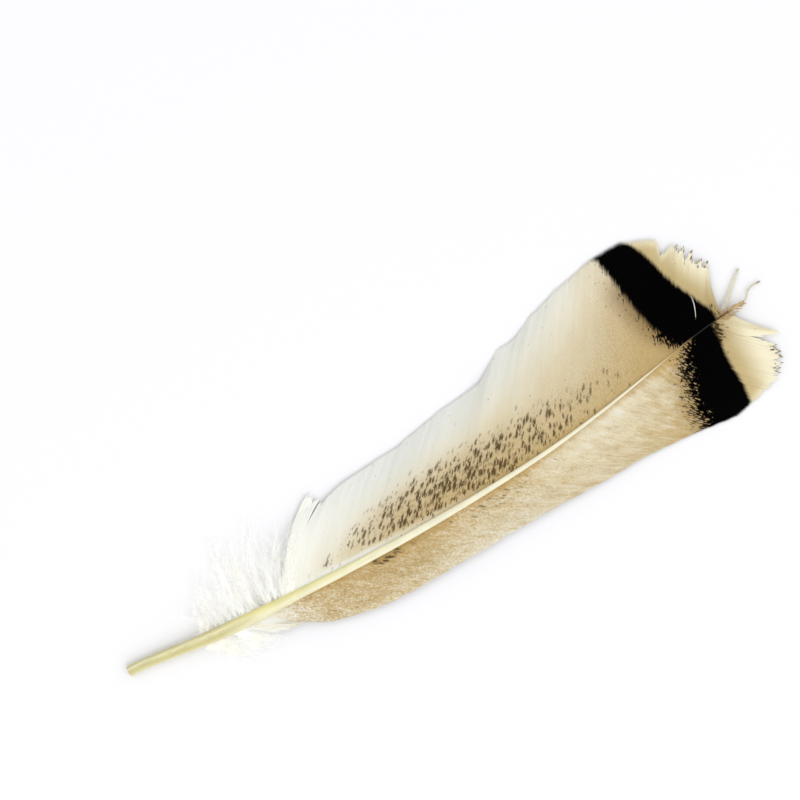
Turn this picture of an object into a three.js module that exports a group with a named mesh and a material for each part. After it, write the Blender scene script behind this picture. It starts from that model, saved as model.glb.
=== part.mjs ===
// A shed turkey feather lying on a surface with its smooth upper face up: a tapering shaft, a wide
// and a narrow vane of overlapping barb locks, and loose white down beside the bare quill.
//
// Lengths are in millimetres. +X runs from the cut end of the quill to the tip, +Y points towards
// the wide vane and +Z is up. The finished group stands with the middle of its underside at the origin.

import * as THREE from 'three';

// ---- Driving dimensions ----

// Shaft: [x, y, height of its centre, width, depth] at stations from the quill's cut end to the tip
const SHAFT_STATIONS = [
  [-1, -0.5, 2.1, 4.4, 4.2],
  [12, -2.0, 2.4, 4.6, 4.4],
  [26, -4.4, 3.1, 5.0, 4.6],
  [42, -6.7, 4.2, 5.7, 4.8],
  [56, -8.1, 5.4, 5.3, 4.6],
  [70, -9.2, 6.5, 4.3, 4.1],
  [98, -11.3, 8.3, 3.6, 3.6],
  [130, -13.0, 9.5, 3.1, 3.2],
  [165, -13.6, 9.7, 2.4, 2.7],
  [195, -12.9, 9.0, 1.8, 2.2],
  [222, -10.6, 7.7, 1.3, 1.8],
  [248, -7.3, 5.9, 0.85, 1.3],
  [270, -4.4, 4.3, 0.6, 0.9],
  [294, -3.2, 2.6, 0.45, 0.6],
];
const SHAFT_RINGS = 36; // cross-sections along the shaft
const SHAFT_SIDES = 12; // corners of a cross-section
const ROUND = 2; // exponent of a cross-section that is an ellipse
const SQUARISH = 3.2; // exponent where the shaft carries the vanes
const SQUARISH_FROM = 60; // x where the round quill starts to turn squarish
const SQUARISH_BY = 100; // x where it is fully squarish

const SHAFT_GAP = 0.3; // between the shaft and the root of a vane or of the down
const VANE_THICKNESS = 0.6;
const DOWN_THICKNESS = 1.4;
const SHORTEST_BARB = 0.4; // least share of a barb that is left at a notch
const LONGEST_BARB = 1.04; // most that a lock's point adds to it
const LOCK_LIFT = 0.7; // how far one lock stands over the next, like a roof tile, at its tip
const DOWN_LIFT = 1.6;
const BARB_CAMBER = 0.35; // share of a barb's fall that is even; the rest is kept for its outer half

// Outlines: [x of the root on the shaft, x of the tip, y of the tip] of a barb at each station
const WIDE_VANE_OUTLINE = [
  [69.2, 86.5, 10.2],
  [72.5, 101.0, 24.7],
  [76.6, 104.0, 18.5],
  [85.3, 115.4, 20.2],
  [109.2, 142.1, 21.0],
  [130.2, 164.8, 24.7],
  [150.0, 184.2, 25.5],
  [157.8, 197.8, 33.8],
  [165.6, 206.0, 33.8],
  [174.7, 216.3, 38.3],
  [192.8, 230.7, 42.0],
  [218.4, 250.5, 45.3],
  [234.8, 263.7, 44.9],
  [252.6, 277.7, 38.3],
  [255.0, 275.2, 32.1],
  [264.0, 282.8, 33.2],
  [269.6, 286.2, 27.4],
  [276.0, 289.6, 19.8],
  [283.3, 288.2, 14.4],
];
const NARROW_VANE_OUTLINE = [
  [49.4, 61.8, -18.5],
  [55.2, 72.1, -22.2],
  [62.6, 82.4, -27.2],
  [73.7, 98.9, -31.7],
  [87.3, 115.4, -33.8],
  [115.8, 144.2, -34.2],
  [153.3, 181.3, -35.0],
  [177.2, 206.0, -36.3],
  [197.0, 226.6, -36.7],
  [218.4, 247.2, -39.1],
  [241.0, 267.8, -42.4],
  [253.0, 280.2, -40.4],
  [263.7, 290.5, -37.9],
  [268.6, 294.6, -35.0],
  [272.0, 295.8, -30.9],
  [275.2, 296.6, -26.8],
  [277.6, 292.5, -20.6],
  [280.2, 299.9, -22.7],
  [286.0, 300.0, -20.8],
];
const WIDE_DOWN_OUTLINE = [
  [30.5, 32.5, 3.5],
  [34.6, 36.3, 12.4],
  [39.6, 41.6, 19.8],
  [45.3, 48.0, 24.7],
  [51.9, 56.0, 26.4],
  [57.7, 63.4, 25.5],
  [62.6, 69.6, 22.5],
  [67.0, 74.4, 14.0],
];
const NARROW_DOWN_OUTLINE = [
  [29.5, 31.5, -9.6],
  [33.0, 37.0, -14.0],
  [36.3, 43.0, -20.0],
  [39.6, 48.8, -26.4],
  [43.3, 55.4, -24.5],
  [47.6, 60.4, -20.4],
];

// Loose barbs beyond the last whole lock: root x, tip x and y, width
const WIDE_TIP_STRAYS = [
  { root: 285.2, tip: [299.6, 9.8], width: 1.5 },
  { root: 287.5, tip: [290.6, -0.6], width: 1.2 },
  { root: 291.2, tip: [305.2, 0.8], width: 0.9 },
];
const NARROW_TIP_STRAYS = [
  { root: 288.2, tip: [292.6, -7.2], width: 1.4 },
  { root: 290.9, tip: [295.0, -5.8], width: 1.2 },
];
const STRAY_ROOT = 0.5; // half the width of a loose barb's root along the shaft
const STUB = 0.7; // length of the short barbs that part one loose barb from the next

// Height of a vane's underside along its outer edge: [x, height]
const WIDE_EDGE_HEIGHT = [
  [30, 1.2],
  [70, 1.8],
  [85, 2.0],
  [110, 1.0],
  [140, 0.2],
  [165, 0],
  [235, 0],
  [262, 0.2],
  [288, 1.2],
  [306, 2.2],
];
const NARROW_EDGE_HEIGHT = [
  [30, 1.2],
  [60, 2.2],
  [100, 2.4],
  [150, 2.2],
  [200, 1.5],
  [235, 0.6],
  [255, 0],
  [285, 0.1],
  [300, 1.4],
];

const WIDE_VANE = {
  side: 1, outline: WIDE_VANE_OUTLINE, strays: WIDE_TIP_STRAYS, edgeHeight: WIDE_EDGE_HEIGHT,
  locks: 29, rows: 7, bend: 9, notch: 0.5, frayedNotch: 2.4, point: 0.4, lift: LOCK_LIFT,
  thickness: VANE_THICKNESS,
};
const NARROW_VANE = {
  side: -1, outline: NARROW_VANE_OUTLINE, strays: NARROW_TIP_STRAYS, edgeHeight: NARROW_EDGE_HEIGHT,
  locks: 27, rows: 6, bend: 8, notch: 0.4, frayedNotch: 2, point: 0.3, lift: LOCK_LIFT,
  thickness: VANE_THICKNESS,
};
const WIDE_DOWN = {
  side: 1, outline: WIDE_DOWN_OUTLINE, strays: [], edgeHeight: WIDE_EDGE_HEIGHT,
  locks: 8, rows: 6, bend: 8, notch: 8, frayedNotch: 8, point: 1.5, lift: DOWN_LIFT,
  thickness: DOWN_THICKNESS,
};
const NARROW_DOWN = {
  side: -1, outline: NARROW_DOWN_OUTLINE, strays: [], edgeHeight: NARROW_EDGE_HEIGHT,
  locks: 5, rows: 6, bend: 6, notch: 4, frayedNotch: 4, point: 1, lift: DOWN_LIFT,
  thickness: DOWN_THICKNESS,
};

// One lock is four columns: where each lies across the lock, its share of the lift, and which notch
// it ends at, the one before the lock (0), the one after it (1) or neither, at the lock's point
const LOCK_COLUMNS = [
  { across: 0.04, lift: 0, notch: 0 },
  { across: 0.38, lift: 0.45, notch: null },
  { across: 0.7, lift: 0.85, notch: null },
  { across: 0.96, lift: 1, notch: 1 },
];
const NOTCH_RHYTHM = 2.4; // makes the notches of neighbouring locks uneven
const NOTCH_SWING = 0.6; // share of a notch's depth that varies
const WIDTH_RHYTHM = 1.9; // makes the widths of neighbouring locks uneven
const WIDTH_SWING = 0.2; // share of a lock's width that varies
const CROWDING = 1.35; // above 1, the locks crowd together towards the tip
const FRAYED_FROM = 245; // x of the root from which the vane's edge is frayed
const FRAYED_BY = 262; // x of the root where it is fully frayed

const DEG = Math.PI / 180;

// ---- Helpers ----

// A smooth curve through rows of [x, value, value...], read at any x
function smooth(rows) {
  const xs = rows.map((row) => row[0]);
  const values = rows.flatMap((row) => row.slice(1));
  const curve = new THREE.CubicInterpolant(xs, values, rows[0].length - 1);
  return (x) => Array.from(curve.evaluate(x));
}

// Straight lines through rows of [x, value, value...], read at any x
function straight(rows) {
  const xs = rows.map((row) => row[0]);
  const values = rows.flatMap((row) => row.slice(1));
  const line = new THREE.LinearInterpolant(xs, values, rows[0].length - 1);
  return (x) => Array.from(line.evaluate(x));
}

// One closed mesh from vertices and triangles
function closedMesh(points, triangles) {
  const geometry = new THREE.BufferGeometry();
  geometry.setAttribute('position', new THREE.Float32BufferAttribute(points.flatMap((p) => p.toArray()), 3));
  geometry.setIndex(triangles);
  geometry.computeVertexNormals();
  return geometry;
}

const shaftAt = smooth(SHAFT_STATIONS);

// ---- Shaft ----

// A point of the shaft's cross-section at x, which turns from round to squarish along the quill
function shaftSection(x, turn) {
  const [y, z, width, depth] = shaftAt(x);
  const exponent = THREE.MathUtils.lerp(
    ROUND, SQUARISH, THREE.MathUtils.smoothstep(x, SQUARISH_FROM, SQUARISH_BY));
  const across = Math.cos(turn);
  const up = Math.sin(turn);
  const reach = (Math.abs(across) ** exponent + Math.abs(up) ** exponent) ** (-1 / exponent);
  return new THREE.Vector3(x, y + across * reach * width / 2, z + up * reach * depth / 2);
}

function shaftGeometry() {
  const from = SHAFT_STATIONS[0][0];
  const to = SHAFT_STATIONS.at(-1)[0];
  const points = [];
  const triangles = [];
  for (let ring = 0; ring <= SHAFT_RINGS; ring++) {
    const x = THREE.MathUtils.lerp(from, to, ring / SHAFT_RINGS);
    for (let side = 0; side < SHAFT_SIDES; side++) {
      points.push(shaftSection(x, (side + 0.5) * 2 * Math.PI / SHAFT_SIDES));
    }
  }
  for (let ring = 0; ring < SHAFT_RINGS; ring++) {
    for (let side = 0; side < SHAFT_SIDES; side++) {
      const a = ring * SHAFT_SIDES + side;
      const b = ring * SHAFT_SIDES + (side + 1) % SHAFT_SIDES;
      triangles.push(a, b, b + SHAFT_SIDES, a, b + SHAFT_SIDES, a + SHAFT_SIDES);
    }
  }
  const last = SHAFT_RINGS * SHAFT_SIDES;
  for (let side = 1; side < SHAFT_SIDES - 1; side++) {
    triangles.push(0, side + 1, side);
    triangles.push(last, last + side, last + side + 1);
  }
  return closedMesh(points, triangles);
}

// ---- Vanes and down ----

// Where a barb at x leaves the shaft, seen from above
function shaftSide(x, side) {
  const [y, , width] = shaftAt(x);
  return new THREE.Vector2(x, y + side * (width / 2 + SHAFT_GAP));
}

// How far along the shaft the side of a lock lies, from 0 at the first root to 1 at the last
function lockSide(lock, locks) {
  const uneven = lock > 0 && lock < locks ? WIDTH_SWING * Math.sin(lock * WIDTH_RHYTHM) : 0;
  return 1 - (1 - (lock + uneven) / locks) ** CROWDING;
}

// Depth of the notch before a lock, whose side leaves the shaft at x
function notchDepth(vane, lock, x) {
  const frayed = THREE.MathUtils.smoothstep(x, FRAYED_FROM, FRAYED_BY);
  const depth = THREE.MathUtils.lerp(vane.notch, vane.frayedNotch, frayed);
  return depth * (1 + NOTCH_SWING * Math.sin(lock * NOTCH_RHYTHM));
}

// The columns of barbs that shape the whole locks
function lockColumns(vane) {
  const tipAt = straight(vane.outline);
  const first = vane.outline[0][0];
  const last = vane.outline.at(-1)[0];
  const columns = [];
  for (let lock = 0; lock < vane.locks; lock++) {
    const from = THREE.MathUtils.lerp(first, last, lockSide(lock, vane.locks));
    const to = THREE.MathUtils.lerp(first, last, lockSide(lock + 1, vane.locks));
    for (const { across, lift, notch } of LOCK_COLUMNS) {
      const root = THREE.MathUtils.lerp(from, to, across);
      const reach = notch === null ? vane.point : -notchDepth(vane, lock + notch, notch ? to : from);
      columns.push({ root, tip: tipAt(root), bend: vane.bend, lift, reach });
    }
  }
  return columns;
}

// The columns of the loose barbs at the tip: each has two sides and a point, and a stub before it
function strayColumns(vane) {
  const columns = [];
  for (const { root, tip, width } of vane.strays) {
    const line = new THREE.Vector2(tip[0] - root, tip[1] - shaftAt(root)[0]).normalize();
    const across = new THREE.Vector2(-line.y, line.x).multiplyScalar(vane.side * width / 2);
    const stubRoot = root - 2 * STRAY_ROOT;
    const stub = line.clone().multiplyScalar(STUB).add(shaftSide(stubRoot, vane.side));
    columns.push({ root: stubRoot, tip: stub.toArray(), bend: 0, lift: 0.5, reach: 0 });
    for (const share of [-1, 0, 1]) {
      const end = new THREE.Vector2(...tip).addScaledVector(across, -share);
      if (share) end.addScaledVector(line, -width);
      columns.push({ root: root + share * STRAY_ROOT, tip: end.toArray(), bend: 0, lift: 0.5, reach: 0 });
    }
  }
  return columns;
}

// The upper surface along one column: root beside the shaft, tip on the outline, falling to the edge
function barbPoints(column, vane, edgeHeightAt) {
  const shaftZ = shaftAt(column.root)[1];
  const root = shaftSide(column.root, vane.side);
  const tip = new THREE.Vector2(...column.tip);
  const line = tip.clone().sub(root);
  const kept = THREE.MathUtils.clamp(1 + column.reach / line.length(), SHORTEST_BARB, LONGEST_BARB);
  const lean = line.clone().rotateAround(new THREE.Vector2(), vane.side * column.bend * DEG);
  const middle = root.clone().addScaledVector(lean, 0.5);
  const barb = new THREE.QuadraticBezierCurve(root, middle, tip);
  const edge = edgeHeightAt(tip.x)[0] + vane.thickness;
  const points = [];
  for (let row = 0; row <= vane.rows; row++) {
    const along = kept * row / vane.rows;
    const fall = BARB_CAMBER * along + (1 - BARB_CAMBER) * along ** 2;
    const { x, y } = barb.getPoint(along);
    const z = THREE.MathUtils.lerp(shaftZ, edge, fall) + vane.lift * column.lift * along;
    points.push(new THREE.Vector3(x, y, z));
  }
  return points;
}

// A closed sheet of fused locks, with its underside straight below its upper face
function vaneGeometry(vane) {
  const edgeHeightAt = straight(vane.edgeHeight);
  const columns = [...lockColumns(vane), ...strayColumns(vane)]
    .map((column) => barbPoints(column, vane, edgeHeightAt));
  if (vane.side < 0) columns.reverse(); // keeps the upper face's triangles turned up
  const top = columns.flat();
  const bottom = top.map((p) => new THREE.Vector3(p.x, p.y, p.z - vane.thickness));
  const stride = vane.rows + 1;
  const under = top.length;
  const triangles = [];
  const wall = (a, b) => triangles.push(a, b, b + under, a, b + under, a + under);
  for (let i = 0; i < columns.length - 1; i++) {
    for (let row = 0; row < vane.rows; row++) {
      const a = i * stride + row;
      const b = a + stride;
      triangles.push(a, b, b + 1, a, b + 1, a + 1);
      triangles.push(a + under, b + under + 1, b + under, a + under, a + under + 1, b + under + 1);
    }
    wall(i * stride + stride, i * stride);
    wall(i * stride + vane.rows, (i + 1) * stride + vane.rows);
  }
  const lastColumn = (columns.length - 1) * stride;
  for (let row = 0; row < vane.rows; row++) {
    wall(row, row + 1);
    wall(lastColumn + row + 1, lastColumn + row);
  }
  return closedMesh([...top, ...bottom], triangles);
}

// ---- Assembly ----

function piece(name, geometry, color, roughness) {
  const mesh = new THREE.Mesh(geometry, new THREE.MeshStandardMaterial({ color, roughness, metalness: 0 }));
  mesh.name = name;
  return mesh;
}

const feather = new THREE.Group();
feather.add(
  piece('shaft', shaftGeometry(), 0xe4dca4, 0.4),
  piece('wide_vane', vaneGeometry(WIDE_VANE), 0xd8cdb4, 0.75),
  piece('narrow_vane', vaneGeometry(NARROW_VANE), 0xc9b083, 0.75),
  piece('wide_side_down', vaneGeometry(WIDE_DOWN), 0xf4f2ea, 0.9),
  piece('narrow_side_down', vaneGeometry(NARROW_DOWN), 0xf2efe2, 0.9),
);

// The middle of the underside of the whole feather goes to the origin
const box = new THREE.Box3().setFromObject(feather);
const middle = box.getCenter(new THREE.Vector3());
feather.position.set(-middle.x, -middle.y, -box.min.z);

export default feather;
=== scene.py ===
"""A turkey feather lying on a pale table: quill, two vanes of separate barbs, and loose white down.

Lengths in the tables are millimetres in the feather's own frame: x runs from the quill's cut end to
the tip, y points towards the wide vane and z is up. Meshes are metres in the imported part's frame.
"""

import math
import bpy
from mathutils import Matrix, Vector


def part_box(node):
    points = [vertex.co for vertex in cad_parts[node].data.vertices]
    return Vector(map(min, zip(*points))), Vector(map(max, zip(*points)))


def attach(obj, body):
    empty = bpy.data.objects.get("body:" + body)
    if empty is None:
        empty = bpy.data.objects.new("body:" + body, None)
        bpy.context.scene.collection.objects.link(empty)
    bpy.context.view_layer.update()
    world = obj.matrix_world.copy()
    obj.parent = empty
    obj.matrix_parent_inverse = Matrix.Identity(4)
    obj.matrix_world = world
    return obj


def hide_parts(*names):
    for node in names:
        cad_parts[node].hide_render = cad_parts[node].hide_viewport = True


bl_info = {
    "name": "Turkey Feather",
    "version": (1, 0, 0),
    "blender": (4, 5, 0),
    "location": "3D View > Sidebar > Feather",
    "description": "Builds the quill, barbs and down of a turkey feather on its packed solids",
    "category": "Add Mesh",
}

import bpy
import numpy as np
from bpy.props import FloatProperty, FloatVectorProperty, IntProperty, PointerProperty
from mathutils import Vector

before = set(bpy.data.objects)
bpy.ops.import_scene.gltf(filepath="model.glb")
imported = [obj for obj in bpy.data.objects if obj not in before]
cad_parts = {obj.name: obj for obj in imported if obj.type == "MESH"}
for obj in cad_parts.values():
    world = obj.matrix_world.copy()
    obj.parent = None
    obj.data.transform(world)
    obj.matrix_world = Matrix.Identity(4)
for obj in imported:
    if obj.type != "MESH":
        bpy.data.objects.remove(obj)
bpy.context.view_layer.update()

MM = 0.001

# ---- The feather's form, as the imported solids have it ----

# Shaft: x, y, height of its centre, width, depth
SHAFT_STATIONS = [
    (-1, -0.5, 2.1, 4.4, 4.2), (12, -2.0, 2.4, 4.6, 4.4), (26, -4.4, 3.1, 5.0, 4.6),
    (42, -6.7, 4.2, 5.7, 4.8), (56, -8.1, 5.4, 5.3, 4.6), (70, -9.2, 6.5, 4.3, 4.1),
    (98, -11.3, 8.3, 3.6, 3.6), (130, -13.0, 9.5, 3.1, 3.2), (165, -13.6, 9.7, 2.4, 2.7),
    (195, -12.9, 9.0, 1.8, 2.2), (222, -10.6, 7.7, 1.3, 1.8), (248, -7.3, 5.9, 0.85, 1.3),
    (270, -4.4, 4.3, 0.6, 0.9), (294, -3.2, 2.6, 0.45, 0.6),
]
CUT_END = SHAFT_STATIONS[0]

# Where barbs end: x of the root on the shaft, x of the tip, y of the tip. Only the narrow vane's row
# at 276.4 isn't in the solids: it narrows the slit beside the last lock
WIDE_VANE_OUTLINE = [
    (69.2, 86.5, 10.2), (72.5, 101.0, 24.7), (76.6, 104.0, 18.5), (85.3, 115.4, 20.2),
    (109.2, 142.1, 21.0), (130.2, 164.8, 24.7), (150.0, 184.2, 25.5), (157.8, 197.8, 33.8),
    (165.6, 206.0, 33.8), (174.7, 216.3, 38.3), (192.8, 230.7, 42.0), (218.4, 250.5, 45.3),
    (234.8, 263.7, 44.9), (252.6, 277.7, 38.3), (255.0, 275.2, 32.1), (264.0, 282.8, 33.2),
    (269.6, 286.2, 27.4), (276.0, 289.6, 19.8), (283.3, 288.2, 14.4),
]
NARROW_VANE_OUTLINE = [
    (49.4, 61.8, -18.5), (55.2, 72.1, -22.2), (62.6, 82.4, -27.2), (73.7, 98.9, -31.7),
    (87.3, 115.4, -33.8), (115.8, 144.2, -34.2), (153.3, 181.3, -35.0), (177.2, 206.0, -36.3),
    (197.0, 226.6, -36.7), (218.4, 247.2, -39.1), (241.0, 267.8, -42.4), (253.0, 280.2, -40.4),
    (263.7, 290.5, -37.9), (268.6, 294.6, -35.0), (272.0, 295.8, -30.9), (275.2, 296.6, -26.8),
    (276.4, 297.0, -25.2), (277.6, 292.5, -20.6), (280.2, 299.9, -22.7), (286.0, 300.0, -20.8),
]
WIDE_DOWN_OUTLINE = [
    (30.5, 32.5, 3.5), (34.6, 36.3, 12.4), (39.6, 41.6, 19.8), (45.3, 48.0, 24.7), (51.9, 56.0, 26.4),
    (57.7, 63.4, 25.5), (62.6, 71.6, 24.5), (67.0, 79.4, 24.0), (70.5, 86.4, 18.0), (74.5, 93.0, 16.0),
]
NARROW_DOWN_OUTLINE = [
    (29.5, 31.5, -9.6), (33.0, 37.0, -14.0), (36.3, 43.0, -20.0), (39.6, 48.8, -26.4),
    (43.3, 55.4, -24.5), (47.6, 60.4, -20.4),
]

# Height of a vane's underside along its outer edge: x, height
WIDE_EDGE_HEIGHT = [
    (30, 1.2), (70, 1.8), (85, 2.0), (110, 1.0), (140, 0.2), (165, 0.0), (235, 0.0), (262, 0.2),
    (288, 1.2), (306, 2.2),
]
NARROW_EDGE_HEIGHT = [
    (30, 1.2), (60, 2.2), (100, 2.4), (150, 2.2), (200, 1.5), (235, 0.6), (255, 0.0), (285, 0.1),
    (300, 1.4),
]

BARB_CAMBER = 0.35  # share of a barb's fall that is even; the rest is kept for its outer half
CROWDING = 1.35  # above 1, the locks crowd together towards the tip
WIDTH_RHYTHM = 1.9  # makes the widths of neighbouring locks uneven
WIDTH_SWING = 0.2
LOCK_LIFT = (0.03, 0.14)  # least and most that one side of a lock stands over the next lock
NOTCH_SHARES = (0.3, 1.7)  # least and most of a vane's usual notch between two locks
SWAY = 0.09  # how far the web wanders sideways, and each barb by itself
STRAY = 0.02
WAVE = 0.025  # how far the web rises and falls
CURL = 0.15  # how far barbs of the frayed edge turn up at their tips
CURL_SWING = 0.2
RAGGED = 0.12  # how uneven the ends of barbs are, with more where the edge is frayed or loose
RAGGED_FRAYED = 0.2
RAGGED_LOOSE = 2.0
LOOSE_OVER = (5, 14)  # along the shaft, where a vane's first barbs stop being loose
FRAYED_FROM = 245  # x of the root from which the vane's edge is frayed
FRAYED_BY = 262
SMOOTHED_OVER = 36  # steps of half a millimetre over which the web's fall is evened out
BARB_RISE = 0.36  # from a vane's underside to the middle of its barbs
DOWN_RISE = 0.4
DOWN_SEGMENTS = 14
DOWN_FLOOR = 0.35  # the lowest that down barbs lie, and their fibres
FIBRE_FLOOR = 0.15
DOWN_BARB = 0.16  # how thick a down barb is
WEB_OVERLAP = 0.62  # half a barb's width, as a share of the distance to the next barb
WEB_HALF = (0.07, 0.42)  # least and most of that half width
TOOTH = 4.1  # how long a tooth is
TOOTH_HALF = 0.75  # along the shaft, half the run of barbs that end in one tooth
TOOTH_SHARES = (0.7, 1.15)  # least and most of that length
TOOTH_LEAN = (1.1, -0.8)  # how far a tooth's point bends: towards the tip, towards the shaft

# ---- What only the barbs show ----

# Splits in the web: x of the root, how far along the barb each opens and closes, widest gap
WIDE_SPLITS = [
    (76.4, 0.62, 1.3, 0.8), (158.5, 0.7, 1.0, 0.1), (170.2, 0.72, 1.05, 0.3), (126.0, 0.75, 1.2, 0.2),
    (203.0, 0.8, 1.2, 0.3), (255.3, 0.8, 1.2, 0.5),
]
NARROW_SPLITS = [
    (84.0, 0.7, 1.2, 0.5), (131.0, 0.75, 1.2, 0.4), (189.0, 0.7, 1.2, 0.4), (278.0, 0.6, 1.3, 1.1),
]

# Dark band across the feather. Where it starts and ends: distance from the shaft, x
WIDE_BAND_START = [
    (0, 265.5), (2.3, 263.7), (5.4, 261.4), (9.9, 258.5), (14.4, 256.5), (23, 254.8), (31.5, 253.9),
    (40, 253.3), (48.5, 252.2), (51.8, 251.0),
]
WIDE_BAND_END = [
    (4, 281), (10.4, 278.1), (15.9, 276), (21.8, 273.4), (29.4, 271.4), (35.6, 270.2), (41.1, 268.7),
    (45.3, 266.9), (49.9, 263.5),
]
NARROW_BAND_START = [
    (0, 270.5), (2.2, 267.8), (4.6, 265.2), (7, 263.2), (13.2, 261.6), (19.2, 259.7), (25, 258.4),
    (31, 259), (34.5, 255),
]
NARROW_BAND_END = [
    (2, 277.6), (8.5, 277.2), (12.6, 276.3), (18.8, 276), (27, 276.3), (33, 275.6), (37.4, 275),
]

# How tan the ground is: x, share beside the shaft, share further out, distance where that is reached
WIDE_TAN = [
    (70, 0.12, 0, 14), (85, 0.36, 0, 19), (100, 0.56, 0, 24), (125, 0.86, 0, 29), (150, 0.95, 0, 33),
    (173, 0.95, 0, 37), (198, 0.84, 0.05, 45), (214, 0.85, 0.08, 50), (231, 0.92, 0.12, 55),
    (246, 1.05, 0.2, 64), (285, 1.1, 0.3, 70),
]
NARROW_TAN = [
    (49, 0.0, 0.0, 30), (64, 0.1, 0.22, 30), (70, 0.36, 0.42, 30), (78, 0.66, 0.58, 30),
    (89, 0.85, 0.57, 30), (110, 0.96, 0.43, 30), (125, 0.98, 0.36, 30), (150, 0.72, 0.28, 28),
    (170, 0.72, 0.3, 28), (185, 0.58, 0.56, 28), (200, 0.38, 0.7, 28), (222, 0.3, 0.78, 28),
    (243, 0.48, 0.86, 28), (255, 0.8, 0.95, 28),
]

# How strong the mottling is: x, amount
WIDE_MOTTLING = [(80, 0.0), (120, 0.12), (160, 0.16), (262, 0.18)]
NARROW_MOTTLING = [
    (49, 0), (62, 0.1), (69, 0.55), (80, 0.55), (98, 0.42), (150, 0.36), (180, 0.3), (200, 0.16),
    (236, 0.1),
]

# How much browner the web is right beside the shaft: x, amount. Below 0 it is paler there, painted light
# that lifts the shade the shaft casts on the wide web
WIDE_LINE_AND_PAINTED_LIGHT = [
    (80, -0.3), (107, -0.55), (124, -0.5), (148, -0.3), (165, 0.05), (185, 0.25), (205, 0.35),
    (225, 0.15), (262, 0),
]
NARROW_LINE = [
    (94, 0.1), (105, 0.15), (111, 0.8), (117, 0.7), (123, 0.35), (135, 0.3), (148, 0.1), (168, 0.4),
    (200, 0.25), (231, 0.4), (250, 0.35),
]

# How thickly dark flecks stand: x, share at their thickest, distances from the shaft's middle where
# they are thickest and where they stop
WIDE_FLECKS = [
    (80, 0.0, 5, 8), (90, 0.3, 5, 12), (102, 0.45, 6, 17), (117, 0.65, 7, 22), (130, 0.88, 5.5, 25),
    (148, 1.25, 4.5, 24.5), (162, 1.2, 3.5, 25.5), (175, 1.05, 3, 25), (190, 0.86, 2.5, 25),
    (205, 0.62, 2.5, 24), (222, 0.4, 2.5, 21), (236, 0.28, 2.5, 15), (248, 0.0, 3, 14),
]
NARROW_FLECKS = [
    (102, 0.0, 3, 3), (108, 0.8, 3, 6), (113, 1.6, 3, 6), (117, 1.3, 3, 6), (121, 0.5, 3, 6),
    (129, 0.5, 3, 6), (138, 0.15, 4, 6), (148, 0.3, 4, 8), (166, 0.45, 4, 12), (182, 0.3, 4, 14),
    (196, 0.1, 4, 16), (240, 0.1, 4, 26),
]

# What the materials of the two webs don't share. The size of clouds is across and along the barbs.
# The brown halo and the specks before the band grow between two distances into it, and the band is
# solid from the third
WIDE_LOOK = {
    "streaks": 0.05, "cloud_size": (8, 18), "clouds": 0.1, "mottling_size": 1.1, "cream_by": 0.6,
    "slant": 0.12, "halo": (-11.5, 0.0), "halo_share": 0.7, "specks": (-11.5, 2.5), "solid": -0.9,
    "solid_soft": 1.3, "ticks": 0.55, "ticks_behind_teeth": 0.42,
}
NARROW_LOOK = {
    "streaks": 0.08, "cloud_size": (5, 7), "clouds": 0.6, "mottling_size": 1.45, "cream_by": 0.42,
    "slant": 0.0, "halo": (-17.0, 1.5), "halo_share": 0.5, "specks": (-19.5, 7.0), "solid": 0.3,
    "solid_soft": 1.7, "ticks": 1.0, "ticks_behind_teeth": 0.28,
}

WIDE_VANE = {
    "side": 1, "outline": WIDE_VANE_OUTLINE, "edge": WIDE_EDGE_HEIGHT, "locks": 29, "bend": 9,
    "notch": 0.35, "frayed_notch": 2.4, "splits": WIDE_SPLITS, "band_start": WIDE_BAND_START,
    "band_end": WIDE_BAND_END, "tan": WIDE_TAN, "line": WIDE_LINE_AND_PAINTED_LIGHT, "mottling": WIDE_MOTTLING,
    "flecks": WIDE_FLECKS, "white_until": (78, 140),
    "teeth": (264.4, 267.0, 269.7, 273.1, 275.7, 278.0), "first_bend": 16, "seed": 11,
    "look": WIDE_LOOK,
}
NARROW_VANE = {
    "side": -1, "outline": NARROW_VANE_OUTLINE, "edge": NARROW_EDGE_HEIGHT, "locks": 27, "bend": 8,
    "notch": 0.35, "frayed_notch": 2.0, "splits": NARROW_SPLITS, "band_start": NARROW_BAND_START,
    "band_end": NARROW_BAND_END, "tan": NARROW_TAN, "line": NARROW_LINE, "mottling": NARROW_MOTTLING,
    "flecks": NARROW_FLECKS, "white_until": (56, 68),
    "teeth": (265.0, 267.4, 269.6, 271.9, 273.5, 275.1), "first_bend": 4, "seed": 23,
    "look": NARROW_LOOK,
}
WIDE_DOWN = {
    "side": 1, "outline": WIDE_DOWN_OUTLINE, "edge": WIDE_EDGE_HEIGHT, "crowding": 0.6, "seed": 37,
}
NARROW_DOWN = {
    "side": -1, "outline": NARROW_DOWN_OUTLINE, "edge": NARROW_EDGE_HEIGHT, "crowding": 0.8, "seed": 41,
}

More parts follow.
